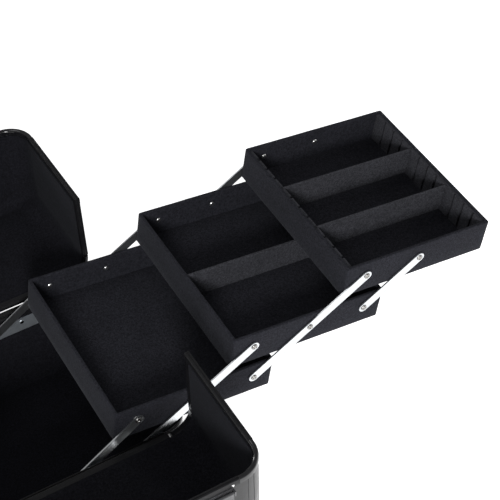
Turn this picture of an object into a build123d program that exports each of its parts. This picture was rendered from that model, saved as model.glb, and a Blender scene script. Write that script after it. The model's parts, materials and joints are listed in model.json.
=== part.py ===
from build123d import *
import os
from math import acos, cos, degrees, radians, sin

os.makedirs("parts", exist_ok=True)

# Train case with two half lids, three cantilever trays and their swing links.
# Frame: +Z up, origin at the centre of the case's underside, +X the way the
# trays swing out, -Y the near side.  All lengths are in millimetres.

# ---- case --------------------------------------------------------------------
CASE_W = 357.0        # outside, along X
CASE_D = 308.0        # outside, along Y
CORNER_R = 38.0       # upright corners
PAD_H = 3.0           # rubber pad under the case
RIM_Z = 178.0         # top of the body's rim
RIM_H = 10.0          # height of every rim profile
RIM_T = 7.2           # thickness of every rim profile
SHELL_INSET = 1.0     # shells sit this far inside the rims
SHELL_T = 4.0         # moulded shell
LINING_T = 2.0        # fabric lining on its board
GROOVE_W = 2.4        # gasket groove
GROOVE_D = 2.5

# ---- lids ----------------------------------------------------------------------
LID_H = 206.6         # rim to top, closed
LID_GAP = 0.4         # between closed rims
LID_TOP_R = 40.0      # lid top to end panel
LID_EDGE_R = 24.0     # lid top to long side
HINGE_OFFSET = 4.0    # hinge axis outside the rim's face
NEAR_OPEN = 88.4      # lid angles as modelled, degrees from closed
FAR_OPEN = 93.8
HINGE_X = 95.0        # hinges at plus and minus this
BARREL_R = 3.2
HINGE_PIN_R = 1.5
LEAF_T = 1.4
STRIP_W = 7.8          # dark strips that close the gap under the open lids
STRIP_T = 1.0
KNUCKLE = 15.0        # each of the body's two knuckles
LID_KNUCKLE = 17.2

# ---- trays ---------------------------------------------------------------------
TRAY_X = 247.0        # outside, along X
TRAY_Y = 280.0        # outside, along Y
TRAY_H = 53.5
TRAY_WALL = 5.0
TRAY_FLOOR = 4.0
TRAY_1 = (73.2, 248.9)    # X and Z of tray 1's top left edge, swung out
SAG = 8.0                 # the trays' right ends hang this many degrees low

# ---- links -----------------------------------------------------------------------
LINK_W = 15.0
LINK_T = 2.0
LINK_GAP = 0.8        # tray face to link
PITCH = 106.0         # link, between the pivots of neighbouring trays
BASE_PITCH = 112.0    # link, from its base pivot to tray 1
PIVOT_X = 33.5        # first pivot from the tray's left face
PIVOT_STEP = 91.0     # between a tray's pivots
PIVOT_DROP = 22.0     # pivots below the tray's top
OPEN_ANGLE = 31.0     # links above level, swung out
CLOSED_ANGLE = degrees(acos(-PIVOT_STEP / PITCH))   # trays stack exactly
RIVET_R = 2.4
HEAD_R = 4.6
FIT = 0.1             # radial clearance of a link on its rivet

# ---- dividers ----------------------------------------------------------------------
SLOT_COUNT = 11
SLOT_W = 4.4
COMB_BASE = 1.6
COMB_TOOTH = 3.4
COMB_H = 46.5
DIVIDER_T = 3.6
DIVIDER_H = 46.0

# ---- latches and handle --------------------------------------------------------------
LATCH_X = 107.0
LATCH_W = 38.0
HANDLE_X = 52.0
HANDLE_Y = -42.0
HANDLE_DROP = 36.0

LID_Z = RIM_Z + LID_GAP
LID_TOP = LID_Z + LID_H
HINGE_Y = CASE_D / 2 + HINGE_OFFSET
HINGE_Z = RIM_Z + LID_GAP / 2
SWING = CLOSED_ANGLE - OPEN_ANGLE
HALF_Y = TRAY_Y / 2


def save(name, *shapes):
    """Write one node; each shape may hold several solids."""
    solids = []
    for shape in shapes:
        solids += list(shape.solids())
    export_step(Compound(solids), f"parts/{name}.step")


def block(x0, x1, y0, y1, z0, z1):
    size = (x1 - x0, y1 - y0, z1 - z0)
    return Pos((x0 + x1) / 2, (y0 + y1) / 2, (z0 + z1) / 2) * Box(*size)


def plan(inset, z0, z1):
    """The case's rounded plan, drawn in by inset, between two heights."""
    outline = RectangleRounded(CASE_W - 2 * inset, CASE_D - 2 * inset, CORNER_R - inset)
    return Pos(0, 0, z0) * extrude(outline, amount=z1 - z0)


def hood(inset, z0):
    """Both closed lids as one solid, drawn in by inset, from z0 up."""
    top = LID_TOP - inset
    tall = top - z0 + 100
    mid = top - tall / 2
    wide, deep = CASE_W - 2 * inset, CASE_D - 2 * inset
    front = Plane.XZ * Pos(0, mid) * RectangleRounded(wide, tall, LID_TOP_R - inset)
    side = Plane.YZ * Pos(0, mid) * RectangleRounded(deep, tall, LID_EDGE_R - inset)
    solid = plan(inset, z0, top)
    solid &= extrude(front, amount=CASE_D, both=True)
    solid &= extrude(side, amount=CASE_W, both=True)
    return solid


def rod(x, y0, y1, z, r):
    """A round bar along Y between y0 and y1."""
    lo, hi = min(y0, y1), max(y0, y1)
    return Pos(x, (lo + hi) / 2, z) * Rot(90, 0, 0) * Cylinder(r, hi - lo)


def bar_x(x0, x1, y, z, r):
    """A round bar along X between x0 and x1."""
    return Pos((x0 + x1) / 2, y, z) * Rot(0, 90, 0) * Cylinder(r, x1 - x0)


# ================================ case body ================================
rim_low = RIM_Z - RIM_H
shell_in = SHELL_INSET + SHELL_T
lining_in = shell_in + LINING_T
half_w, half_d = CASE_W / 2, CASE_D / 2

save("base_pad", extrude(RectangleRounded(CASE_W - 30, CASE_D - 30, 24), amount=PAD_H))

tub = plan(SHELL_INSET, PAD_H, rim_low)
tub = fillet(tub.edges().group_by(Axis.Z)[0], 5)
save("body_shell", tub - plan(shell_in, PAD_H + SHELL_T, rim_low + 1))

liner = plan(shell_in, PAD_H + SHELL_T, rim_low)
liner -= plan(lining_in, PAD_H + SHELL_T + LINING_T, rim_low + 1)
rail_y = half_d - lining_in            # inner face of the lining
save("body_lining", liner)

ring = plan(0, rim_low, RIM_Z) - plan(RIM_T, rim_low - 1, RIM_Z + 1)
groove_at = (RIM_T - GROOVE_W) / 2
groove = plan(groove_at, RIM_Z - GROOVE_D, RIM_Z + 1)
groove -= plan(groove_at + GROOVE_W, RIM_Z - GROOVE_D - 1, RIM_Z + 2)
ring -= groove
cut = CORNER_R + 4                     # corner pieces run this far along each side
corner_boxes = [
    block(sx * (half_w - cut) if sx > 0 else -half_w - 1, half_w + 1 if sx > 0 else cut - half_w,
          sy * (half_d - cut) if sy > 0 else -half_d - 1, half_d + 1 if sy > 0 else cut - half_d,
          rim_low - 1, RIM_Z + 1)
    for sx in (-1, 1) for sy in (-1, 1)
]
corners = [ring & b for b in corner_boxes]
for b in corner_boxes:
    ring -= b

RIM_RIVET_R = 1.3
rim_rivets = []
for sx in (-1, 1):
    for sy in (-1, 1):
        x, y, z = sx * (half_w - cut - 8), sy * (half_d - cut - 8), RIM_Z - RIM_H / 2 - 1.5
        ring -= rod(x, sy * (half_d - 3), sy * (half_d + 1), z, RIM_RIVET_R + 0.05)
        rim_rivets.append(rod(x, sy * (half_d - 2.5), sy * half_d, z, RIM_RIVET_R)
                          + rod(x, sy * half_d, sy * (half_d + 0.8), z, 2.3))
        x0, x1, x2 = sx * (half_w - 2.5), sx * half_w, sx * (half_w + 0.8)
        ring -= bar_x(min(x0, sx * (half_w + 1)) - 0.5 * (sx > 0),
                      max(x0, sx * (half_w + 1)) + 0.5 * (sx < 0), y, z, RIM_RIVET_R + 0.05)
        rim_rivets.append(bar_x(min(x0, x1), max(x0, x1), y, z, RIM_RIVET_R)
                          + bar_x(min(x1, x2), max(x1, x2), y, z, 2.3))
save("body_rim", ring)
save("body_rim_corners", *corners)
save("body_rim_rivets", *rim_rivets)

# Hinge leaves on the body, their pins, and the same leaves for the lids.
pins, body_leaves, lid_leaf_parts = [], [], {-1: [], 1: []}
for side in (-1, 1):
    face, y_axis = side * half_d, side * HINGE_Y
    for sx in (-1, 1):
        mid = sx * HINGE_X
        outer = LID_KNUCKLE / 2 + 0.4
        length = outer + KNUCKLE
        y0, y1 = sorted((face, face + side * LEAF_T))
        barrel = bar_x(mid - length, mid + length, y_axis, HINGE_Z, BARREL_R)
        web_y = sorted((face, y_axis))
        leaf = block(mid - length, mid + length, y0, y1, HINGE_Z - 20, HINGE_Z)
        gap = block(mid - outer, mid + outer, y_axis - 5, y_axis + 5, HINGE_Z - 4, HINGE_Z + 4)
        hole = bar_x(mid - length - 1, mid + length + 1, y_axis, HINGE_Z, HINGE_PIN_R + 0.05)
        web = block(mid - length, mid + length, web_y[0], web_y[1], HINGE_Z - 3.1, HINGE_Z - 0.2)
        body_leaves.append((leaf + web + barrel) - gap - hole)
        pins.append(bar_x(mid - length - 0.8, mid + length + 0.8, y_axis, HINGE_Z, HINGE_PIN_R))
        knuckle = bar_x(mid - LID_KNUCKLE / 2, mid + LID_KNUCKLE / 2, y_axis, HINGE_Z, BARREL_R)
        lid_web = block(mid - LID_KNUCKLE / 2, mid + LID_KNUCKLE / 2, web_y[0], web_y[1],
                        HINGE_Z + 0.2, HINGE_Z + 3.1)
        lid_leaf = block(mid - length, mid + length, y0, y1, HINGE_Z + 4.2, HINGE_Z + 20)
        neck = block(mid - LID_KNUCKLE / 2, mid + LID_KNUCKLE / 2, y0, y1,
                     HINGE_Z + 0.2, HINGE_Z + 5)
        lid_leaf_parts[side].append((lid_leaf + neck + lid_web + knuckle) - hole)
save("body_hinge_leaves", *body_leaves)
save("hinge_pins", *pins)

# Strips between the hinges, on the body's rim, below the hinge axes.
strips = []
for side in (-1, 1):
    y0, y1 = sorted((side * half_d, side * (half_d + STRIP_W)))
    for x0, x1 in ((-136, -123), (-67, 67), (123, 136)):
        strips.append(block(x0, x1, y0, y1, HINGE_Z - 1.2 - STRIP_T, HINGE_Z - 1.2))
save("hinge_strips", *strips)

# ================================ swing links ================================
def swing(point, length, degree):
    return (point[0] + length * cos(radians(degree)), point[1] + length * sin(radians(degree)))


def on_tray(index, x, z, turn=0.0):
    """A tray-local X and Z in the case's frame; turn is the links' travel from swung out."""
    tilt = -SAG * (1 - turn / SWING)
    base_m = swing(base_1, BASE_PITCH, OPEN_ANGLE + turn)       # tray 1's middle pivot
    px, pz = base_m
    for _ in range(index - 1):
        px, pz = swing(swing((px, pz), PITCH, OPEN_ANGLE + turn), PIVOT_STEP, tilt)
    c, s = cos(radians(tilt)), sin(radians(tilt))
    dx, dz = x - PIVOT_X - PIVOT_STEP, z + PIVOT_DROP
    return (px + dx * c - dz * s, pz + dx * s + dz * c)


c8, s8 = cos(radians(-SAG)), sin(radians(-SAG))
pivot_m = (TRAY_1[0] + (PIVOT_X + PIVOT_STEP) * c8 + PIVOT_DROP * s8,
           TRAY_1[1] + (PIVOT_X + PIVOT_STEP) * s8 - PIVOT_DROP * c8)
base_1 = swing(pivot_m, -BASE_PITCH, OPEN_ANGLE)


# The short base link's centre, length, angle and travel keep its tip nearest
# tray 1's left pivot all the way; the hole at the tip takes up what is left.
base_0 = (11.73, 157.36)
short_base = 113.21
short_angle = 34.65
SHORT_RATIO = 0.9937

OPEN_FIT = 0.5        # extra hole radius at the pivots that close a loop
BASE_OPEN_FIT = 1.9   # the same at the short base link's upper end


def link(start, degree, holes, side):
    """A flat bar from start; holes are (distance along it, hole radius)."""
    length = holes[-1][0]
    slot = Plane.XZ * Pos(length / 2, 0) * SlotCenterToCenter(length, LINK_W)
    bar = extrude(slot, amount=LINK_T / 2, both=True)
    for along, r in holes:
        bar -= rod(along, -5, 5, 0, r)
    y = side * (HALF_Y + LINK_GAP + LINK_T / 2)
    return Pos(start[0], y, start[1]) * Rot(0, -degree, 0) * bar


snug, loose = RIVET_R + FIT, RIVET_R + OPEN_FIT
for side, word in ((-1, "near"), (1, "far")):
    save(f"long_link_1_{word}", link(
        base_1, OPEN_ANGLE,
        [(0, snug), (BASE_PITCH, snug), (BASE_PITCH + PITCH, loose)], side))
    save(f"long_link_2_{word}", link(
        on_tray(1, PIVOT_X + 2 * PIVOT_STEP, -PIVOT_DROP), OPEN_ANGLE,
        [(0, snug), (PITCH, snug), (2 * PITCH, snug)], side))
    save(f"short_link_1_{word}", link(
        base_0, short_angle, [(0, snug), (short_base, RIVET_R + BASE_OPEN_FIT)], side))
    save(f"short_link_2_{word}", link(
        on_tray(2, PIVOT_X + 2 * PIVOT_STEP, -PIVOT_DROP), OPEN_ANGLE,
        [(0, snug), (PITCH, loose)], side))

# Pivot rails inside the body, with the base pivots and their fixing rivets.
RAIL_T = 1.6
RAIL_HALF = 139.0
RAIL_Z0, RAIL_Z1 = 141.0, 166.0
base_pins, rail_rivets = [], []
for side, word in ((-1, "near"), (1, "far")):
    wall, face = side * rail_y, side * (rail_y - RAIL_T)
    y0, y1 = sorted((wall, face))
    rail = block(-RAIL_HALF, RAIL_HALF, y0, y1, RAIL_Z0, RAIL_Z1)
    link_out = side * (HALF_Y + LINK_GAP + LINK_T + 0.2)
    link_in = side * (HALF_Y + LINK_GAP - 0.2)
    for x, z in (base_0, base_1):
        rail -= rod(x, wall + side, face - side, z, RIVET_R + 0.05)
        base_pins.append(rod(x, wall, link_in, z, RIVET_R) + rod(x, face, link_out, z, 5.5)
                         + rod(x, link_in, link_in - side * 1.6, z, HEAD_R))
    for x in (-130.0, -45.0, 55.0, 130.0):
        z = RAIL_Z1 - 7
        rail -= rod(x, wall + side, face - side, z, 1.55)
        rail_rivets.append(rod(x, wall, face, z, 1.5)
                           + rod(x, face, face - side * 1.1, z, 3.0))
    save(f"pivot_rail_{word}", rail)
save("base_pivots", *base_pins)
save("rail_rivets", *rail_rivets)

# ================================ trays ================================
def tray_place(index):
    """The place of a tray-local shape: origin at its top left near corner."""
    x, z = on_tray(index, 0, 0)
    return Pos(x, -HALF_Y, z) * Rot(0, SAG, 0)


# Which of a tray's three pivots carry a link.
used = {1: (0, 1, 2), 2: (0, 1, 2), 3: (0, 1)}
for index in (1, 2, 3):
    place = tray_place(index)
    w = TRAY_WALL
    panels = [block(0, TRAY_X, 0, w, -TRAY_H, 0), block(0, TRAY_X, TRAY_Y - w, TRAY_Y, -TRAY_H, 0),
              block(0, w, w, TRAY_Y - w, -TRAY_H, 0),
              block(TRAY_X - w, TRAY_X, w, TRAY_Y - w, -TRAY_H, 0)]
    rivets, washers = [], []
    for n in used[index]:
        x, z = PIVOT_X + n * PIVOT_STEP, -PIVOT_DROP
        for k, (face, out) in enumerate(((0.0, -1), (TRAY_Y, 1))):
            panels[k] -= rod(x, face + out, face - out * (w + 1), z, RIVET_R + 0.05)
            tip = face + out * (LINK_GAP + LINK_T + 0.2)
            inner = face - out * w
            head = rod(x, tip, tip + out * 1.7, z, HEAD_R)
            head -= rod(x, tip + out * 0.9, tip + out * 2, z, 2.0)
            rivets.append(rod(x, inner, tip, z, RIVET_R) + head
                          + rod(x, inner, inner - out * 1.2, z, 3.6))
            washer = rod(x, face, face + out * 0.6, z, 6.0)
            washers.append(washer - rod(x, face - out, face + out * 2, z, RIVET_R + 0.05))
    save(f"tray_{index}_walls", *[place * p for p in panels])
    floor = block(w, TRAY_X - w, w, TRAY_Y - w, -TRAY_H, TRAY_FLOOR - TRAY_H)
    save(f"tray_{index}_floor", place * floor)
    save(f"tray_{index}_rivets", *[place * r for r in rivets])
    save(f"tray_{index}_washers", *[place * r for r in washers])

in0, in1 = TRAY_WALL, TRAY_X - TRAY_WALL
floor_top = TRAY_FLOOR - TRAY_H
save("tray_2_divider", tray_place(2) * block(in0, in1, TRAY_Y / 2 - 2, TRAY_Y / 2 + 2,
                                             floor_top, -3))

# Slotted combs along tray 3's left and right walls, and two lift-out dividers.
slot_step = (TRAY_Y - 2 * TRAY_WALL) / (SLOT_COUNT + 1)
combs = []
for x0, inward in ((in0, 1), (in1, -1)):
    a, b = sorted((x0, x0 + inward * (COMB_BASE + COMB_TOOTH)))
    comb = block(a, b, TRAY_WALL, TRAY_Y - TRAY_WALL, floor_top, floor_top + COMB_H)
    for n in range(1, SLOT_COUNT + 1):
        y = TRAY_WALL + n * slot_step
        a, b = sorted((x0 + inward * COMB_BASE, x0 + inward * (COMB_BASE + COMB_TOOTH + 1)))
        comb -= block(a, b, y - SLOT_W / 2, y + SLOT_W / 2, floor_top - 1, 1)
    combs.append(tray_place(3) * comb)
save("tray_3_slot_combs", *combs)
for number, from_far in ((1, 8), (2, 4)):
    y = TRAY_Y - TRAY_WALL - from_far * slot_step
    board = block(in0 + COMB_BASE + 0.5, in1 - COMB_BASE - 0.5, y - DIVIDER_T / 2,
                  y + DIVIDER_T / 2, floor_top + 0.3, floor_top + 0.3 + DIVIDER_H)
    save(f"tray_3_divider_{number}", tray_place(3) * board)

# ================================ lids ================================
# Both lids are drawn closed, as the near one, then turned about the hinge.
def place_lid(shape, side):
    if side > 0:
        shape = mirror(shape, about=Plane.XZ)
        return shape.rotate(Axis((0, HINGE_Y, HINGE_Z), (1, 0, 0)), -FAR_OPEN)
    return shape.rotate(Axis((0, -HINGE_Y, HINGE_Z), (1, 0, 0)), NEAR_OPEN)


rim_top = LID_Z + RIM_H
meet = -LID_GAP                        # the lid's edge where the two lids meet
far_out = -CASE_D
inside_box = block(-CASE_W, CASE_W, far_out, meet - RIM_H, rim_top, LID_TOP + 10)
lid_shell = (hood(SHELL_INSET, rim_top) - hood(shell_in, rim_top - 1)) & inside_box
lid_lining = (hood(shell_in, rim_top) - hood(lining_in, rim_top - 1)) & inside_box

frame = (hood(0, LID_Z) - hood(RIM_T, LID_Z - 1))
frame &= block(-CASE_W, CASE_W, far_out, meet, LID_Z - 1, LID_TOP + 10)
frame -= inside_box
top_cut = LID_TOP_R + 4
lid_corner_boxes = []
for sx in (-1, 1):
    x0, x1 = sorted((sx * (half_w - cut), sx * (half_w + 1)))
    lid_corner_boxes.append(block(x0, x1, -half_d - 1, cut - half_d, LID_Z - 1, rim_top + 1))
    x0, x1 = sorted((sx * (half_w - top_cut), sx * (half_w + 1)))
    lid_corner_boxes.append(block(x0, x1, meet - RIM_H - 1, 1, LID_TOP - top_cut, LID_TOP + 1))
lid_corners = [frame & b for b in lid_corner_boxes]
for b in lid_corner_boxes:
    frame -= b

lid_rivets = []
for sx in (-1, 1):
    rail_mid = meet - RIM_H / 2 - 1.5
    x0, x1 = sorted((sx * (half_w - 2.5), sx * (half_w + 0.01)))
    x2, x3 = sorted((sx * half_w, sx * (half_w + 0.8)))
    for z in (LID_Z + 40, LID_TOP - top_cut - 10):
        frame -= bar_x(x0 - 0.2, x1 + 0.2, rail_mid, z, RIM_RIVET_R + 0.05)
        lid_rivets.append(bar_x(x0, x1, rail_mid, z, RIM_RIVET_R)
                          + bar_x(x2, x3, rail_mid, z, 2.3))
    x = sx * (half_w - top_cut - 10)
    frame -= Pos(x, rail_mid, LID_TOP - 1) * Cylinder(RIM_RIVET_R + 0.05, 4)
    lid_rivets.append(Pos(x, rail_mid, LID_TOP - 1) * Cylinder(RIM_RIVET_R, 2.01)
                      + Pos(x, rail_mid, LID_TOP + 0.4) * Cylinder(2.3, 0.8))

for side, word in ((-1, "near"), (1, "far")):
    save(f"{word}_lid_shell", place_lid(lid_shell, side))
    save(f"{word}_lid_lining", place_lid(lid_lining, side))
    save(f"{word}_lid_rim", place_lid(frame, side))
    save(f"{word}_lid_rim_corners", *[place_lid(c, side) for c in lid_corners])
    save(f"{word}_lid_rivets", *[place_lid(r, side) for r in lid_rivets])
    axis = Axis((0, side * HINGE_Y, HINGE_Z), (1, 0, 0))
    turned = NEAR_OPEN if side < 0 else -FAR_OPEN
    save(f"{word}_lid_hinge_leaves", *[s.rotate(axis, turned) for s in lid_leaf_parts[side]])

# Latches: a plate with two ears and a cross pin, and a lever that folds over the
# meeting edge to catch the keeper on the far lid.
deck = LID_TOP - SHELL_INSET           # outer face of the lid's top panel
LATCH_PIN_Y = -17.0
LATCH_PIN_Z = deck + 4.6
LEVER_L = 27.0
plates, latch_pins, keepers, levers = [], [], [], {}
for sx, word in ((-1, "left"), (1, "right")):
    x = sx * LATCH_X
    half = LATCH_W / 2
    plate = block(x - half, x + half, -50, meet - RIM_H - 0.6, deck, deck + 1.5)
    for ear in (-1, 1):
        e0, e1 = sorted((x + ear * (half - 2.0), x + ear * half))
        plate += block(e0, e1, LATCH_PIN_Y - 4, LATCH_PIN_Y + 4, deck, deck + 7.4)
    plate -= bar_x(x - half - 1, x + half + 1, LATCH_PIN_Y, LATCH_PIN_Z, 1.25)
    plates.append(plate)
    latch_pins.append(bar_x(x - half - 0.6, x + half + 0.6, LATCH_PIN_Y, LATCH_PIN_Z, 1.2))
    for sy in (-44.0,):
        latch_pins.append(Pos(x, sy, deck + 2.1) * Cylinder(3.0, 1.2))
    width = half - 2.4
    lever = block(x - width, x + width, LATCH_PIN_Y - LEVER_L, LATCH_PIN_Y,
                  LATCH_PIN_Z - 1.1, LATCH_PIN_Z + 1.1)
    lever -= block(x - 7, x + 7, LATCH_PIN_Y - 21, LATCH_PIN_Y - 8,
                   LATCH_PIN_Z - 2, LATCH_PIN_Z + 2)
    lever += bar_x(x - width, x + width, LATCH_PIN_Y, LATCH_PIN_Z, 2.4)
    lever += block(x - width, x + width, LATCH_PIN_Y - LEVER_L, LATCH_PIN_Y - LEVER_L + 2,
                   LATCH_PIN_Z, LATCH_PIN_Z + 3.2)
    lever -= bar_x(x - half, x + half, LATCH_PIN_Y, LATCH_PIN_Z, 1.3)
    levers[word] = lever
    keep = block(x - 8, x + 8, -30, meet - RIM_H - 0.6, deck, deck + 1.5)
    keep += block(x - 6, x + 6, -15.5, -13, deck, deck + 5.5)
    keepers.append(keep)
save("latch_plates", *[place_lid(p, -1) for p in plates])
save("latch_pins", *[place_lid(p, -1) for p in latch_pins])
save("latch_keepers", *[place_lid(k, 1) for k in keepers])
for word, lever in levers.items():
    save(f"latch_lever_{word}", place_lid(lever, -1))

# Carry handle: two brackets on the near lid's top panel and a folding grip.
PIN_Z = deck + 7.0
brackets = []
for sx in (-1, 1):
    x0, x1 = sorted((sx * HANDLE_X, sx * (HANDLE_X + 10)))
    foot = block(x0 - 6, x1 + 6, HANDLE_Y - 9, HANDLE_Y + 9, deck, deck + 2)
    cheek = block(x0, x1, HANDLE_Y - 6, HANDLE_Y + 6, deck, PIN_Z + 5)
    brackets.append(foot + cheek - bar_x(x0 - 1, x1 + 1, HANDLE_Y, PIN_Z, 2.1))
save("handle_brackets", *[place_lid(b, -1) for b in brackets])
arm_x = HANDLE_X - 4.5
grip_y = HANDLE_Y - HANDLE_DROP
handle = bar_x(-arm_x - 4, arm_x + 4, grip_y, PIN_Z, 5.5)
for sx in (-1, 1):
    x0, x1 = sorted((sx * (arm_x - 4), sx * (arm_x + 4)))
    handle += block(x0, x1, grip_y, HANDLE_Y + 3, PIN_Z - 3.2, PIN_Z + 3.2)
    x0, x1 = sorted((sx * arm_x, sx * (HANDLE_X + 9.5)))
    handle += bar_x(x0, x1, HANDLE_Y, PIN_Z, 2.0)
save("carry_handle", place_lid(handle, -1))

print("closing travel", round(SWING, 4), "tilt per degree", round(SAG / SWING, 6))
print("base pivots", [round(v, 3) for v in base_0 + base_1], "short link", round(short_base, 3),
      "at", round(short_angle, 3))
worst = 0.0
for n in range(41):
    t = SWING * n / 40
    tip = swing(base_0, short_base, short_angle + SHORT_RATIO * t)
    want = on_tray(1, PIVOT_X, -PIVOT_DROP, t)
    worst = max(worst, ((tip[0] - want[0]) ** 2 + (tip[1] - want[1]) ** 2) ** 0.5)
print("widest miss at the short base link's tip", round(worst, 3))
for n in (1, 2, 3):
    print("tray", n, [[round(v, 3) for v in on_tray(n, PIVOT_X + k * PIVOT_STEP, -PIVOT_DROP)]
                      for k in range(3)])
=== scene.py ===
import json
import math

import bmesh
import bpy
from mathutils import Matrix, Vector


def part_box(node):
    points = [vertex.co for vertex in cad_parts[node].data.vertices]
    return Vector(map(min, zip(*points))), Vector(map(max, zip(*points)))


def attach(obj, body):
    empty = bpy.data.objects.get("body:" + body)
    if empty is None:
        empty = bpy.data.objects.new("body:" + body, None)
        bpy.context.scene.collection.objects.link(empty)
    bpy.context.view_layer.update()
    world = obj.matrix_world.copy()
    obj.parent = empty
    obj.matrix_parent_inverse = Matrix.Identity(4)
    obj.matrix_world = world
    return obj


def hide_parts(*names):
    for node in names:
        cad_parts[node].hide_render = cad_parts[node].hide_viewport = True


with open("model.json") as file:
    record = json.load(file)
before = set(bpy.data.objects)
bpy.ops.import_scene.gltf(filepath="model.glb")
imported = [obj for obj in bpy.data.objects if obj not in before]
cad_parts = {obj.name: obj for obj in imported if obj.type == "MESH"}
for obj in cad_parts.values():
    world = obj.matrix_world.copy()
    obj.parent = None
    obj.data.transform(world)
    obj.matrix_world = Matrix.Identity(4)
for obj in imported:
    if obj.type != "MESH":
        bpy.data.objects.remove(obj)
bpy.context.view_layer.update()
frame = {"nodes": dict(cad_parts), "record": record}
MM = 0.001
JOINTS = {j["name"]: j for j in frame["record"]["behaviour"]["joints"]}

# ---- the case's own dimensions, metres ------------------------------------------------
_, rim_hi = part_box("body_rim")
HALF_W, HALF_D = rim_hi.x, rim_hi.y
RIM_Z = rim_hi.z
RIM_H = 10 * MM
CORNER_R = 38 * MM            # upright corners of the body and the lids
TOP_R = 40 * MM               # a lid's corners seen from its open end
CUT = 42 * MM                 # rim corner pieces reach this far from the outer faces
TOP_CUT = 44 * MM             # the same at a lid's top corners
SEAM = 0.15 * MM              # a corner piece stops this far short of that
GASKET_IN, GASKET_DROP, GASKET_R = 3.55 * MM, 2.2 * MM, 0.95 * MM
LINE_IN, LINE_R = 1.15 * MM, 0.75 * MM      # moulded lines: depth of the centre line, radius
WELT_IN, WELT_R = 7.4 * MM, 0.9 * MM
WELT_FOOT = 14 * MM           # the welting starts this far up a lid's open end
LID_Z = RIM_Z + 0.4 * MM
LID_TOP = LID_Z + 206.6 * MM
DECK = LID_TOP - 1 * MM
MEET = -0.4 * MM              # where a closed lid's open end meets the other lid's
NEAR_OPEN, FAR_OPEN = 88.4, 93.8            # degrees from closed, as modelled
TRAY_X, TRAY_Y, TRAY_H = 247 * MM, 280 * MM, 53.5 * MM
WALL, FLOOR = 5 * MM, 4 * MM
SAG = math.radians(8)
PIVOTS = [33.5 * MM, 124.5 * MM, 215.5 * MM]
PIVOT_DROP = 22 * MM
RIVET_PROUD = 3.0 * MM        # a rivet head's seat stands this far off the tray's wall
CARD_GAP = 0.6 * MM           # between a tray's walls and the card on its floor
COMB_ROOM = 5 * MM            # tray 3's floor card stops short of its combs
PARTITION_HALF, PARTITION_DROP = 2.2 * MM, 3 * MM
BOARD_HALF, BOARD_TOP = 1.8 * MM, 46.3 * MM
BOARD_END = 2.1 * MM          # from a tray's inner wall to the end of a lift-out board
COMB_GAPS = 12                # spaces that a comb's slots divide tray 3's depth into
CORNERS = ((1, -1, -90), (1, 1, 0), (-1, 1, 90), (-1, -1, 180))   # x side, y side, start angle


# ================================ materials ================================
def shader(name, color, rough, metallic=0.0, **sockets):
    mat = bpy.data.materials.new(name)
    mat.use_nodes = True
    tree = mat.node_tree
    bsdf = tree.nodes["Principled BSDF"]
    bsdf.inputs["Base Color"].default_value = (*color, 1)
    bsdf.inputs["Roughness"].default_value = rough
    bsdf.inputs["Metallic"].default_value = metallic
    for key, value in sockets.items():
        bsdf.inputs[key.replace("_", " ")].default_value = value
    return mat, tree, bsdf


def noise(tree, scale, detail=4.0, stretch=(1, 1, 1), rough=0.55):
    coord = tree.nodes.new("ShaderNodeTexCoord")
    mapping = tree.nodes.new("ShaderNodeMapping")
    mapping.inputs["Scale"].default_value = stretch
    tex = tree.nodes.new("ShaderNodeTexNoise")
    tex.inputs["Scale"].default_value = scale
    tex.inputs["Detail"].default_value = detail
    tex.inputs["Roughness"].default_value = rough
    tree.links.new(coord.outputs["Object"], mapping.inputs["Vector"])
    tree.links.new(mapping.outputs["Vector"], tex.inputs["Vector"])
    return tex.outputs["Fac"]


def ramp(tree, source, stops):
    node = tree.nodes.new("ShaderNodeValToRGB")
    els = node.color_ramp.elements
    while len(els) < len(stops):
        els.new(0.5)
    for el, (at, col) in zip(els, stops):
        el.position = at
        el.color = (*col, 1) if len(col) == 3 else (col[0], col[0], col[0], 1)
    tree.links.new(source, node.inputs["Fac"])
    return node.outputs["Color"]


def mix(tree, mode, fac, a, b):
    node = tree.nodes.new("ShaderNodeMix")
    node.data_type, node.blend_type = "RGBA", mode
    node.inputs["Factor"].default_value = fac
    tree.links.new(a, node.inputs["A"])
    tree.links.new(b, node.inputs["B"])
    return node.outputs["Result"]


def bump(tree, bsdf, layers):
    """Stack bump layers, each (source, distance in metres, strength)."""
    last = None
    for source, distance, strength in layers:
        node = tree.nodes.new("ShaderNodeBump")
        node.inputs["Distance"].default_value = distance
        node.inputs["Strength"].default_value = strength
        tree.links.new(source, node.inputs["Height"])
        if last:
            tree.links.new(last, node.inputs["Normal"])
        last = node.outputs["Normal"]
    tree.links.new(last, bsdf.inputs["Normal"])


def felt(name, dark, light, sheen=0.35):
    """Short-pile black felt: fibre speckle, soft patches and a nap that lightens at a slant."""
    mat, tree, bsdf = shader(name, light, 0.92, Sheen_Weight=sheen, Sheen_Roughness=0.45)
    bsdf.inputs["Specular IOR Level"].default_value = 0.06
    bsdf.inputs["Sheen Tint"].default_value = (0.75, 0.78, 0.85, 1)
    fibres = noise(tree, 1400, 5, (1, 1, 1), 0.7)
    streaks = noise(tree, 700, 3, (1, 0.35, 1.6), 0.6)
    patches = noise(tree, 26, 3)
    mottle = ramp(tree, noise(tree, 330, 6, (1, 1, 1), 0.75), [(0.38, (0.4,)), (0.63, (1.0,))])
    speckle = mix(tree, "MULTIPLY", 1.0, ramp(tree, fibres, [(0.36, dark), (0.66, light)]), mottle)
    tone = ramp(tree, patches, [(0.3, (0.82,)), (0.72, (1.0,))])
    tree.links.new(mix(tree, "MULTIPLY", 1.0, speckle, tone), bsdf.inputs["Base Color"])
    rough = ramp(tree, patches, [(0.3, (0.86,)), (0.7, (0.98,))])
    tree.links.new(rough, bsdf.inputs["Roughness"])
    bump(tree, bsdf, [(patches, 0.0012, 0.25), (streaks, 0.0004, 0.45), (fibres, 0.00025, 0.6)])
    return mat


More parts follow.
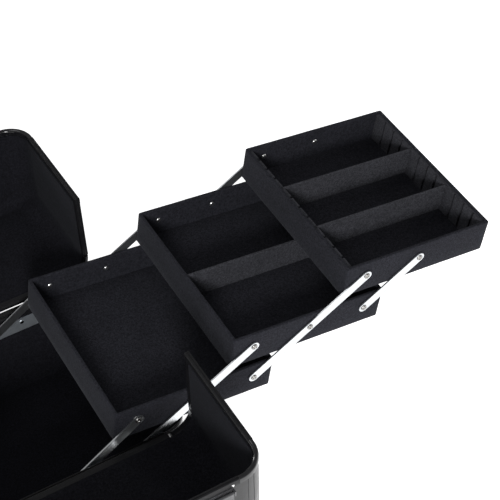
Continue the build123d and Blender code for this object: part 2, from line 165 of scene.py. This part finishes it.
def gloss(name, color, rough, grain=220, grain_depth=0.00012, coat=0.0, grain_mix=0.5):
    """Moulded or painted black surface with orange-peel, scuffs and dulled patches."""
    mat, tree, bsdf = shader(name, color, rough, Coat_Weight=coat, Coat_Roughness=0.12)
    peel = noise(tree, grain, 3)
    scuffs = noise(tree, 90, 6, (1, 6, 1), 0.7)
    cloud = noise(tree, 12, 2)
    lighter = tuple(min(1, c * 1.7 + 0.004) for c in color)
    tint = ramp(tree, scuffs, [(0.45, color), (0.8, lighter)])
    tree.links.new(tint, bsdf.inputs["Base Color"])
    dull = ramp(tree, cloud, [(0.3, (rough * 0.85,)), (0.7, (min(1, rough * 1.3),))])
    tree.links.new(dull, bsdf.inputs["Roughness"])
    bump(tree, bsdf, [(peel, grain_depth, grain_mix), (scuffs, 0.00005, 0.3)])
    return mat


def metal(name, color, rough, stretch, brush=900, depth=0.00006, spread=0.1):
    """Brushed or polished metal; stretch sets the way the brushing runs."""
    mat, tree, bsdf = shader(name, color, rough, 1.0)
    lines = noise(tree, brush, 4, stretch, 0.65)
    cloud = noise(tree, 30, 3)
    dull = ramp(tree, lines, [(0.25, (max(0.02, rough - spread),)), (0.75, (rough + spread,))])
    tree.links.new(dull, bsdf.inputs["Roughness"])
    darker = tuple(c * 0.86 for c in color)
    tint = ramp(tree, cloud, [(0.3, darker), (0.62, color)])
    tree.links.new(tint, bsdf.inputs["Base Color"])
    bump(tree, bsdf, [(lines, depth, 0.5)])
    return mat


TRAY_FELT = felt("tray_felt", (0.008, 0.0082, 0.0108), (0.045, 0.046, 0.058), 0.05)
BOARD_FELT = felt("board_felt", (0.020, 0.0202, 0.024), (0.094, 0.095, 0.110), 0.08)
LINING = felt("lining_cloth", (0.0042, 0.0043, 0.0058), (0.025, 0.0255, 0.033), 0.02)
SHELL = gloss("shell_black", (0.009, 0.009, 0.010), 0.32, 260, 0.00016, 0.05)
RIM = gloss("rim_black", (0.007, 0.007, 0.008), 0.3, 500, 0.00006)
for mat, specular in ((RIM, 0.22), (SHELL, 0.34)):
    mat.node_tree.nodes["Principled BSDF"].inputs["Specular IOR Level"].default_value = specular
RIM_CAP = gloss("rim_cap_black", (0.006, 0.006, 0.007), 0.15, 300, 0.00004)
GASKET = gloss("gasket_rubber", (0.006, 0.006, 0.006), 0.75, 900, 0.00008)
RUBBER = gloss("pad_rubber", (0.012, 0.012, 0.012), 0.8, 1200, 0.0002)
LATCH = gloss("latch_black", (0.035, 0.035, 0.038), 0.28, 400, 0.00004, 0.3)
GRIP = gloss("grip_black", (0.014, 0.014, 0.015), 0.5, 700, 0.0003, 0.0, 0.8)
LINK = metal("link_aluminium", (0.70, 0.72, 0.74), 0.36, (1, 1, 7), 500)
RIVET = metal("rivet_nickel", (0.80, 0.80, 0.79), 0.18, (1, 1, 1), 900, 0.00003, 0.05)
# Painted shade: the rivet head and its eye are darker copies of the rivet's nickel metal.
RIVET_HEAD_PAINTED_SHADE = metal("rivet_head_painted_shade", (0.34, 0.33, 0.32), 0.3, (1, 1, 1), 900, 0.00003, 0.06)
# Painted highlight: the rivet dome is a brighter copy of the rivet's nickel metal.
RIVET_DOME_PAINTED_HIGHLIGHT = metal("rivet_dome", (0.90, 0.90, 0.89), 0.3, (1, 1, 1), 900, 0.00003, 0.05)
RIVET_EYE_PAINTED_SHADE = metal("rivet_eye", (0.52, 0.51, 0.49), 0.5, (1, 1, 1), 900, 0.00003, 0.08)
RAIL = metal("rail_steel", (0.78, 0.84, 0.90), 0.5, (0.15, 1, 4), 600)
HINGE = metal("hinge_steel", (0.70, 0.71, 0.72), 0.26, (0.3, 1, 2), 700)
WASHER = gloss("washer_nylon", (0.45, 0.45, 0.44), 0.5, 900, 0.00004)


# ================================ mesh helpers ================================
def finish_piece(obj, body, mat, replaced=(), bevel=0.0, segments=3, smooth=True):
    obj.data.materials.append(mat)
    if smooth and obj.type == "MESH":
        for poly in obj.data.polygons:
            poly.use_smooth = True
    if bevel:
        mod = obj.modifiers.new("edges", "BEVEL")
        mod.width, mod.segments = bevel, segments
        mod.limit_method, mod.angle_limit = "ANGLE", math.radians(35)
        mod.harden_normals = True
    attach(obj, body)
    if replaced:
        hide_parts(*replaced)
    return obj


def mesh_object(name, verts, faces, matrix=None):
    data = bpy.data.meshes.new(name)
    data.from_pydata([tuple(v) for v in verts], [], faces)
    bm = bmesh.new()
    bm.from_mesh(data)
    if matrix is not None:
        bm.transform(matrix)
    bmesh.ops.recalc_face_normals(bm, faces=bm.faces)
    bm.to_mesh(data)
    bm.free()
    obj = bpy.data.objects.new(name, data)
    bpy.context.scene.collection.objects.link(obj)
    return obj


def board(lo, hi, cuts=(1, 1, 1)):
    """A box's surface as a grid of quads, so that cloth on it can be moved about."""
    verts, faces, seen = [], [], {}

    def vert(i, j, k):
        key = (i, j, k)
        if key not in seen:
            seen[key] = len(verts)
            verts.append([lo[a] + (hi[a] - lo[a]) * key[a] / cuts[a] for a in range(3)])
        return seen[key]

    for axis in range(3):
        u, v = [a for a in range(3) if a != axis]
        for side in (0, cuts[axis]):
            for p in range(cuts[u]):
                for q in range(cuts[v]):
                    corner = []
                    for du, dv in ((0, 0), (1, 0), (1, 1), (0, 1)):
                        key = [0, 0, 0]
                        key[axis], key[u], key[v] = side, p + du, q + dv
                        corner.append(vert(*key))
                    faces.append(corner)
    return verts, faces


def joined(parts):
    verts, faces = [], []
    for vs, fs in parts:
        base = len(verts)
        verts += vs
        faces += [[base + i for i in f] for f in fs]
    return verts, faces


def lathe(profile, place, steps=28):
    """Spin (radius, height) points about the local Z axis, then place them."""
    verts, faces, rings = [], [], []
    for r, h in profile:
        if r == 0:
            rings.append([len(verts)])
            verts.append(place @ Vector((0, 0, h)))
            continue
        rings.append(list(range(len(verts), len(verts) + steps)))
        for n in range(steps):
            a = 2 * math.pi * n / steps
            verts.append(place @ Vector((r * math.cos(a), r * math.sin(a), h)))
    for a, b in zip(rings, rings[1:]):
        for n in range(steps):
            m = (n + 1) % steps
            quad = [a[n % len(a)], a[m % len(a)], b[m % len(b)], b[n % len(b)]]
            face = list(dict.fromkeys(quad))
            if len(face) > 2:
                faces.append(face)
    return verts, faces


def sweep(profile, path, height, close_ends=True):
    """Carry (inward, up) profile points along a path of (point, outward) pairs."""
    verts, faces = [], []
    count = len(profile)
    for point, out in path:
        for inward, up in profile:
            verts.append(point - out * inward + height * up)
    for i in range(len(path) - 1):
        for j in range(count):
            k = (j + 1) % count
            faces.append([i * count + j, i * count + k, (i + 1) * count + k, (i + 1) * count + j])
    if close_ends:
        faces.append(list(range(count)))
        faces.append([(len(path) - 1) * count + j for j in range(count)][::-1])
    return verts, faces


def tube(name, points, radius, matrix=None, closed=False):
    curve = bpy.data.curves.new(name, "CURVE")
    curve.dimensions = "3D"
    curve.bevel_depth, curve.bevel_resolution = radius, 4
    curve.use_fill_caps = True
    spline = curve.splines.new("POLY")
    spline.points.add(len(points) - 1)
    for p, co in zip(spline.points, points):
        co = Vector(co) if matrix is None else matrix @ Vector(co)
        p.co = (*co, 1)
    spline.use_cyclic_u = closed
    obj = bpy.data.objects.new(name, curve)
    bpy.context.scene.collection.objects.link(obj)
    return obj


def arc(centre, radius, start, end, steps=10):
    """(x, y, outward x, outward y) along an arc, angles in degrees."""
    out = []
    for n in range(steps + 1):
        a = math.radians(start + (end - start) * n / steps)
        c, s = math.cos(a), math.sin(a)
        out.append((centre[0] + radius * c, centre[1] + radius * s, c, s))
    return out


# ================================ rims ================================
def mm(points):
    return [(a * MM, b * MM) for a, b in points]


RAIL_PROFILE = mm([(0, -10), (0, -1.1), (0.25, -0.4), (0.9, 0), (2.1, 0), (2.35, -0.25), (2.4, -2.6),
                   (4.7, -2.6), (4.75, -0.9), (5.0, -0.6), (6.5, -0.6), (7.05, -1.0), (7.2, -1.7),
                   (7.2, -10)])
CAP_PROFILE = mm([(0, -10), (0, -3.2), (0.2, -2.0), (0.8, -0.9), (1.9, -0.2), (3.3, 0), (4.7, -0.2),
                  (5.9, -0.8), (6.8, -1.8), (7.2, -3.0), (7.2, -10)])
LID_RAIL = mm([(0, -10), (0, -1.1), (0.25, -0.4), (0.9, 0), (2.6, 0), (2.75, -0.9), (3.6, -0.9),
               (3.75, 0), (5.6, 0), (6.0, -0.35), (6.2, -1.6), (7.2, -1.9), (7.2, -10)])


def straight(a, b, out, steps=2):
    return [(a.lerp(b, n / steps), out) for n in range(steps + 1)]


def with_leads(path, length, tangent):
    """Run a corner's path straight on at both ends; tangent turns an outward vector along it."""
    (start, first_out), (end, last_out) = path[0], path[-1]
    return ([(start - tangent(first_out) * length, first_out)] + path
            + [(end + tangent(last_out) * length, last_out)])


def flat_tangent(out):
    return Vector((-out.y, out.x, 0))


def upright_tangent(out):
    return Vector((-out.z, 0, out.x))


def body_rim():
    rails, caps = [], []
    up = Vector((0, 0, 1))
    x, y = HALF_W - CUT, HALF_D - CUT
    sides = [((-x, -HALF_D), (x, -HALF_D), (0, -1)), ((HALF_W, -y), (HALF_W, y), (1, 0)),
             ((x, HALF_D), (-x, HALF_D), (0, 1)), ((-HALF_W, y), (-HALF_W, -y), (-1, 0))]
    for a, b, out in sides:
        rails.append(sweep(RAIL_PROFILE, straight(Vector((*a, RIM_Z)), Vector((*b, RIM_Z)),
                                                  Vector((*out, 0))), up))
    for sx, sy, start in CORNERS:
        cx, cy = sx * (HALF_W - CORNER_R), sy * (HALF_D - CORNER_R)
        ring = arc((cx, cy), CORNER_R, start, start + 90, 14)
        path = [(Vector((p[0], p[1], RIM_Z)), Vector((p[2], p[3], 0))) for p in ring]
        caps.append(sweep(CAP_PROFILE, with_leads(path, CUT - CORNER_R - SEAM, flat_tangent), up))
    return joined(rails), joined(caps)


rails, caps = body_rim()
finish_piece(mesh_object("body_rim_rails", *rails), "case", RIM, ["body_rim"],
             0.12 * MM, 2)
finish_piece(mesh_object("body_rim_caps", *caps), "case", RIM_CAP,
             ["body_rim_corners"], 0.15 * MM, 2)

# The gasket, one closed ring in the body rim's groove.
loop = []
for sx, sy, start in CORNERS:
    cx, cy = sx * (HALF_W - CORNER_R), sy * (HALF_D - CORNER_R)
    loop += [(p[0], p[1], RIM_Z - GASKET_DROP)
             for p in arc((cx, cy), CORNER_R - GASKET_IN, start, start + 90)]
finish_piece(tube("body_gasket", loop, GASKET_R, closed=True), "case", GASKET)


def lid_matrix(side):
    """Turns a lid drawn closed, as the near one, to where it lies open."""
    hinge = Vector(JOINTS["near_lid_hinge" if side < 0 else "far_lid_hinge"]["pos_m"])
    angle = math.radians(NEAR_OPEN if side < 0 else -FAR_OPEN)
    turn = Matrix.Translation(hinge) @ Matrix.Rotation(angle, 4, "X") @ Matrix.Translation(-hinge)
    return turn if side < 0 else turn @ Matrix.Scale(-1, 4, Vector((0, 1, 0)))


def lid_rim():
    rails, caps = [], []
    down, front = Vector((0, 0, -1)), Vector((0, 1, 0))
    x, y = HALF_W - CUT, HALF_D - CUT
    rails.append(sweep(LID_RAIL, straight(Vector((-x, -HALF_D, LID_Z)), Vector((x, -HALF_D, LID_Z)),
                                          Vector((0, -1, 0))), down))
    for sx, start in ((1, -90), (-1, 180)):
        out = Vector((sx, 0, 0))
        side = (Vector((sx * HALF_W, -y, LID_Z)), Vector((sx * HALF_W, MEET - RIM_H, LID_Z)))
        rails.append(sweep(LID_RAIL, straight(*side, out), down))
        ring = arc((sx * (HALF_W - CORNER_R), CORNER_R - HALF_D), CORNER_R, start, start + 90, 14)
        path = [(Vector((p[0], p[1], LID_Z)), Vector((p[2], p[3], 0))) for p in ring]
        caps.append(sweep(CAP_PROFILE, path, down))
        post = (Vector((sx * HALF_W, MEET, LID_Z)), Vector((sx * HALF_W, MEET, LID_TOP - TOP_CUT)))
        rails.append(sweep(LID_RAIL, straight(*post, out), front))
        ring = arc((sx * (HALF_W - TOP_R), LID_TOP - TOP_R), TOP_R, 0 if sx > 0 else 90,
                   90 if sx > 0 else 180, 16)
        path = [(Vector((p[0], MEET, p[1])), Vector((p[2], 0, p[3]))) for p in ring]
        path = with_leads(path, TOP_CUT - TOP_R - SEAM, upright_tangent)
        caps.append(sweep(CAP_PROFILE, path, front))
    top = (Vector((TOP_CUT - HALF_W, MEET, LID_TOP)), Vector((HALF_W - TOP_CUT, MEET, LID_TOP)))
    rails.append(sweep(LID_RAIL, straight(*top, Vector((0, 0, 1))), front))
    return joined(rails), joined(caps)


for side, word in ((-1, "near"), (1, "far")):
    place = lid_matrix(side)
    body = word + "_lid"
    rails, caps = lid_rim()
    finish_piece(mesh_object(body + "_rim_rails", *rails, place), body, RIM,
                 [body + "_rim"], 0.12 * MM, 2)
    finish_piece(mesh_object(body + "_rim_caps", *caps, place), body, RIM_CAP,
                 [body + "_rim_corners"], 0.15 * MM, 2)
    # Raised lines moulded in the shell along its rounded top corners.
    for number, sx, angle in [(n, sx, a) for sx in (-1, 1) for n, a in enumerate((14, 30, 62, 78))]:
        a = math.radians(90 - angle)
        r = TOP_R - LINE_IN
        x = sx * (HALF_W - TOP_R + r * math.cos(a))
        z = LID_TOP - TOP_R + r * math.sin(a)
        points = [(x, MEET - RIM_H - 0.5 * MM, z), (x, -HALF_D + 34 * MM, z)]
        finish_piece(tube(f"{body}_line_{'lr'[sx > 0]}{number}", points, LINE_R, place), body,
                     SHELL)
    # A bead of welting where the lining meets the rim.
    r, edge = TOP_R - WELT_IN, MEET - RIM_H - WELT_R
    path = [(HALF_W - WELT_IN, edge, LID_Z + WELT_FOOT)]
    path += [(p[0], edge, p[1]) for p in arc((HALF_W - TOP_R, LID_TOP - TOP_R), r, 0, 90)]
    path += [(p[0], edge, p[1]) for p in arc((TOP_R - HALF_W, LID_TOP - TOP_R), r, 90, 180)]
    path.append((-(HALF_W - WELT_IN), edge, LID_Z + WELT_FOOT))
    finish_piece(tube(body + "_welt", path, WELT_R, place), body, LINING)

# Upright lines on the body's rounded corners.
for n, (sx, sy) in enumerate([(a, b) for a in (-1, 1) for b in (-1, 1)]):
    for k, angle in enumerate((14, 30, 60, 76)):
        a = math.radians(angle)
        r = CORNER_R - LINE_IN
        x = sx * (HALF_W - CORNER_R + r * math.cos(a))
        y = sy * (HALF_D - CORNER_R + r * math.sin(a))
        finish_piece(tube(f"body_line_{n}{k}", [(x, y, 12 * MM), (x, y, RIM_Z - RIM_H)], LINE_R),
                     "case", SHELL)


# ================================ trays ================================
def tray_matrix(index):
    """Places tray-local shapes, whose origin is the tray's top left near corner."""
    joint = Vector(JOINTS[f"tray_{index}_pivot"]["pos_m"])
    along = PIVOTS[0] if index == 3 else PIVOTS[1]
    turn = Matrix.Rotation(SAG, 4, "Y")
    corner = joint - turn.to_3x3() @ Vector((along, TRAY_Y / 2, -PIVOT_DROP))
    return Matrix.Translation(corner) @ turn


def soften(obj, strength, size, levels=0):
    """Slight unevenness of cloth over board."""
    if levels:
        sub = obj.modifiers.new("grid", "SUBSURF")
        sub.subdivision_type, sub.levels, sub.render_levels = "SIMPLE", levels, levels
    tex = bpy.data.textures.new(obj.name + "_waves", "CLOUDS")
    tex.noise_scale, tex.noise_depth = size, 2
    mod = obj.modifiers.new("unevenness", "DISPLACE")
    mod.texture, mod.strength, mod.mid_level = tex, strength, 0.5
    mod.texture_coords = "LOCAL"


def open_box():
    """Four covered walls and their floor as one closed surface, with rounded upright corners."""
    outer, inner, r_out, r_in, steps = 0.25 * MM, WALL, 2.6 * MM, 1.0 * MM, 4

    def ring(inset, r, z):
        pts = []
        for cx, cy, start in ((TRAY_X - inset - r, inset + r, -90),
                              (TRAY_X - inset - r, TRAY_Y - inset - r, 0),
                              (inset + r, TRAY_Y - inset - r, 90), (inset + r, inset + r, 180)):
            pts += [(p[0], p[1], z) for p in arc((cx, cy), r, start, start + 90, steps)]
        # Each straight side is split into 24, so that the cloth on it can wave.
        out = []
        for i, p in enumerate(pts):
            out.append(p)
            q = pts[(i + 1) % len(pts)]
            if (i + 1) % (steps + 1) == 0:
                for n in range(1, 24):
                    out.append(tuple(p[a] + (q[a] - p[a]) * n / 24 for a in range(3)))
        return out

    lip = 1.5 * MM
    levels = [(outer + 1.2 * MM, r_out, -TRAY_H + 0.1 * MM), (outer + 0.35 * MM, r_out, -TRAY_H + 0.5 * MM),
              (outer, r_out, -TRAY_H + 1.5 * MM), (outer, r_out, -TRAY_H * 0.66),
              (outer, r_out, -TRAY_H * 0.33), (outer, r_out, -lip),
              (outer + 0.15 * MM, r_out, -0.8 * MM), (outer + 0.6 * MM, r_out, -0.25 * MM),
              (outer + 1.3 * MM, r_out, 0), (inner - 1.4 * MM, r_in, 0),
              (inner - 0.7 * MM, r_in, -0.25 * MM), (inner - 0.2 * MM, r_in, -0.8 * MM),
              (inner, r_in, -lip), (inner, r_in, -TRAY_H * 0.33), (inner, r_in, -TRAY_H * 0.66),
              (inner, r_in, -TRAY_H + FLOOR + 0.8 * MM), (inner + 0.5 * MM, r_in, -TRAY_H + FLOOR)]
    verts, faces = [], []
    rings = []
    for ins, r, z in levels:
        pts = ring(ins, r, z)
        rings.append(range(len(verts), len(verts) + len(pts)))
        verts += pts
    for a, b in zip(rings, rings[1:]):
        for n in range(len(a)):
            m = (n + 1) % len(a)
            faces.append([a[n], a[m], b[m], b[n]])
    faces.append(list(rings[-1]))
    faces.append(list(rings[0])[::-1])
    return verts, faces


def rivet_set(index, matrix):
    """Semi-tubular rivets: rolled hollow head outside, low dome inside."""
    parts, eyes, domes = [], [], []
    used = PIVOTS[:2] if index == 3 else PIVOTS
    for x in used:
        for face, out in ((0.0, -1), (TRAY_Y, 1)):
            turn = Matrix.Rotation(math.radians(90 if out < 0 else -90), 4, "X")
            at = Vector((x, face + out * RIVET_PROUD, -PIVOT_DROP))
            place = matrix @ Matrix.Translation(at) @ turn
            head = mm([(0, -2.9), (2.35, -2.9), (2.4, -0.3), (4.55, -0.05), (4.6, 0.25), (4.4, 0.8),
                       (3.9, 1.25), (3.2, 1.55), (2.6, 1.6), (2.15, 1.4), (1.95, 1.0), (1.9, 0.5),
                       (0, 0.45)])
            parts.append(lathe(head, place))
            eyes.append(lathe(mm([(0, 0.56), (1.4, 0.54), (1.8, 0.48)]), place, 20))
            back = Matrix.Translation(Vector((x, face - out * WALL, -PIVOT_DROP)))
            flip = Matrix.Rotation(math.radians(-90 if out < 0 else 90), 4, "X")
            dome = mm([(0, -2), (3.9, -0.2), (4.25, 0.0), (4.2, 0.4), (3.7, 1.05), (2.7, 1.6), (1.4, 1.85),
                       (0, 1.9)])
            domes.append(lathe(dome, matrix @ back @ flip))
    return joined(parts), joined(eyes), joined(domes)


floor_z = -TRAY_H + FLOOR
for index in (1, 2, 3):
    m = tray_matrix(index)
    body = f"tray_{index}"
    box = mesh_object(body + "_covered_box", *open_box(), m)
    finish_piece(box, body, TRAY_FELT, [body + "_walls", body + "_floor"])
    soften(box, 0.5 * MM, 0.03)
    # The floor's own card, wrapped in the same felt and dropped in.
    gap = WALL + CARD_GAP
    lo, hi = (gap, gap, floor_z + 0.05 * MM), (TRAY_X - gap, TRAY_Y - gap, floor_z + 1.5 * MM)
    if index == 3:
        lo = (gap + COMB_ROOM, gap, lo[2])
        hi = (hi[0] - COMB_ROOM, hi[1], floor_z + 0.25 * MM)
    pads = [(lo, hi)]
    if index == 2:
        mid = TRAY_Y / 2
        pads = [(lo, (hi[0], mid - 2.6 * MM, hi[2])), ((lo[0], mid + 2.6 * MM, lo[2]), hi)]
    sheets = [board(a, b, (30, 30, 1)) for a, b in pads]
    pad = mesh_object(body + "_floor_card", *joined(sheets), m)
    finish_piece(pad, body, TRAY_FELT, (), 0.5 * MM if index < 3 else 0.08 * MM, 3)
    soften(pad, (0.5 if index < 3 else 0.1) * MM, 0.04)
    (verts, faces), (ev, ef), (dv, df) = rivet_set(index, m)
    # The rivet heads and eyes carry painted shade, and the domes carry a painted highlight.
    finish_piece(mesh_object(body + "_rivet_set", verts, faces), body, RIVET_HEAD_PAINTED_SHADE,
                 [body + "_rivets"])
    finish_piece(mesh_object(body + "_rivet_domes", dv, df), body, RIVET_DOME_PAINTED_HIGHLIGHT)
    finish_piece(mesh_object(body + "_rivet_eyes", ev, ef), body, RIVET_EYE_PAINTED_SHADE)

m = tray_matrix(2)
lo = (WALL, TRAY_Y / 2 - PARTITION_HALF, floor_z)
hi = (TRAY_X - WALL, TRAY_Y / 2 + PARTITION_HALF, -PARTITION_DROP)
piece = mesh_object("tray_2_partition", *board(lo, hi, (60, 2, 12)), m)
finish_piece(piece, "tray_2", BOARD_FELT, ["tray_2_divider"], 1.3 * MM, 4)
soften(piece, 0.5 * MM, 0.03)

m = tray_matrix(3)
step = (TRAY_Y - 2 * WALL) / COMB_GAPS
for number, from_far in ((1, 8), (2, 4)):
    y = TRAY_Y - WALL - from_far * step
    reach = WALL + BOARD_END
    lo = (reach, y - BOARD_HALF, floor_z + 0.4 * MM)
    hi = (TRAY_X - reach, y + BOARD_HALF, floor_z + BOARD_TOP)
    piece = mesh_object(f"lift_out_board_{number}", *board(lo, hi, (60, 2, 12)), m)
    finish_piece(piece, f"divider_{number}", BOARD_FELT,
                 [f"tray_3_divider_{number}"], 1.2 * MM, 4)
    soften(piece, 0.35 * MM, 0.03)

# ================================ handle ================================
place = lid_matrix(-1)
pin_y, pin_z = -42 * MM, DECK + 7 * MM
grip_y, half_grip = pin_y - 36 * MM, 47.5 * MM
bend = 9 * MM
arm = [(-half_grip, pin_y + 3 * MM, pin_z)]
arm += [(-half_grip + bend - bend * math.cos(a), grip_y + bend - bend * math.sin(a), pin_z)
        for a in [math.radians(v) for v in range(0, 91, 10)]]
arm += [(-x, y, z) for x, y, z in arm[::-1]]
finish_piece(tube("handle_bow", arm, 3.3 * MM, place), "handle", GRIP)
ribs = [(0, -34)] + [(r, h) for n in range(17)
                     for r, h in ((5.0, -34 + n * 4.0), (5.45, -33.2 + n * 4.0),
                                  (5.45, -31.2 + n * 4.0), (5.0, -30.4 + n * 4.0))] + [(0, 34)]
turn = place @ Matrix.Translation((0, grip_y, pin_z)) @ Matrix.Rotation(math.radians(90), 4, "Y")
finish_piece(mesh_object("handle_sleeve", *lathe(mm(ribs), turn, 32)), "handle", GRIP,
             ["carry_handle"], 0.25 * MM, 2)
pins = []
for sx in (-1, 1):
    at = place @ Matrix.Translation((sx * 52.5 * MM, pin_y, pin_z)) @ Matrix.Rotation(
        math.radians(90), 4, "Y")
    pins.append(lathe(mm([(0, -8.6), (1.7, -8.6), (1.95, -8.2), (1.95, 8.2), (1.7, 8.6), (0, 8.6)]), at))
finish_piece(mesh_object("handle_pins", *joined(pins)), "handle", RIVET)

# ================================ CAD nodes that stay ================================
# Each keeps its mesh and takes a material and an edge bevel, in millimetres.
KEPT = {
    "base_pad": (RUBBER, 0.6), "body_shell": (SHELL, 0.0), "body_lining": (LINING, 0.0),
    "hinge_strips": (GASKET, 0.2),
    "body_rim_rivets": (RIVET, 0.25), "body_hinge_leaves": (HINGE, 0.25), "hinge_pins": (RIVET, 0.2),
    "pivot_rail_near": (RAIL, 0.3), "pivot_rail_far": (RAIL, 0.3), "rail_rivets": (RIVET, 0.35),
    "base_pivots": (RIVET, 0.35), "latch_plates": (LATCH, 0.3), "latch_pins": (RIVET, 0.2),
    "handle_brackets": (LATCH, 0.5), "latch_keepers": (LATCH, 0.3),
    "latch_lever_left": (LATCH, 0.35), "latch_lever_right": (LATCH, 0.35),
    "tray_3_slot_combs": (BOARD_FELT, 0.45),
}
for word in ("near", "far"):
    KEPT[word + "_lid_shell"] = (SHELL, 0.0)
    KEPT[word + "_lid_lining"] = (LINING, 0.0)
    KEPT[word + "_lid_rivets"] = (RIVET, 0.25)
    KEPT[word + "_lid_hinge_leaves"] = (HINGE, 0.25)
    for link in ("long_link_1", "long_link_2", "short_link_1", "short_link_2"):
        KEPT[f"{link}_{word}"] = (LINK, 0.3)
for index in (1, 2, 3):
    KEPT[f"tray_{index}_washers"] = (WASHER, 0.1)
for name, (mat, width) in KEPT.items():
    node = frame["nodes"][name]
    node.data.materials.clear()
    node.data.materials.append(mat)
    if width:
        mod = node.modifiers.new("edges", "BEVEL")
        mod.width, mod.segments = width * MM, 2
        mod.limit_method, mod.angle_limit = "ANGLE", math.radians(50)
        mod.use_clamp_overlap = True

# ================================ stage ================================
SPAN = 8                      # the white floor's half size, metres
corners = [(-SPAN, -SPAN, 0), (SPAN, -SPAN, 0), (SPAN, SPAN, 0), (-SPAN, SPAN, 0)]
floor_mesh = mesh_object("floor", corners, [[0, 1, 2, 3]])
floor_mat, _tree, floor_bsdf = shader("floor_white", (0.93, 0.93, 0.93), 0.9)
floor_bsdf.inputs["Emission Color"].default_value = (1, 1, 1, 1)
floor_bsdf.inputs["Emission Strength"].default_value = 0.8
floor_mesh.data.materials.append(floor_mat)


def area(name, location, target, size, watts, color=(1, 1, 1)):
    light = bpy.data.lights.new(name, "AREA")
    light.shape, light.size, light.energy, light.color = "DISK", size, watts, color
    obj = bpy.data.objects.new(name, light)
    bpy.context.scene.collection.objects.link(obj)
    obj.location = location
    way = Vector(target) - Vector(location)
    obj.rotation_euler = way.to_track_quat("-Z", "Y").to_euler()


centre = (0.2, 0.0, 0.2)
area("key", (-0.6, 0.6, 2.1), centre, 1.0, 6)
area("front", (-0.9, -2.4, 1.65), centre, 0.8, 78)
area("side_fill", (2.3, -0.4, 0.9), centre, 1.2, 6)
area("edge_light", (-0.5, 2.6, 0.95), centre, 0.5, 11)
world = bpy.data.worlds.new("studio")
bpy.context.scene.world = world
world.use_nodes = True
world.node_tree.nodes["Background"].inputs["Color"].default_value = (1, 1, 1, 1)
world.node_tree.nodes["Background"].inputs["Strength"].default_value = 0.3
bpy.context.scene.view_settings.view_transform = "Standard"

camera = bpy.data.cameras.new("camera")
camera.lens, camera.sensor_width = 101.8, 36.0
camera.clip_start, camera.clip_end = 0.1, 20
cam = bpy.data.objects.new("camera", camera)
bpy.context.scene.collection.objects.link(cam)
bpy.context.scene.camera = cam
azimuth, elevation, distance = math.radians(-30.54), math.radians(47.41), 2.0674
back = Vector((math.sin(azimuth) * math.cos(elevation), -math.cos(azimuth) * math.cos(elevation),
               math.sin(elevation)))
aim = Vector((0.3773, 0.0269, 0.2489))
cam.location = aim + back * distance
cam.rotation_euler = (-back).to_track_quat("-Z", "Y").to_euler()
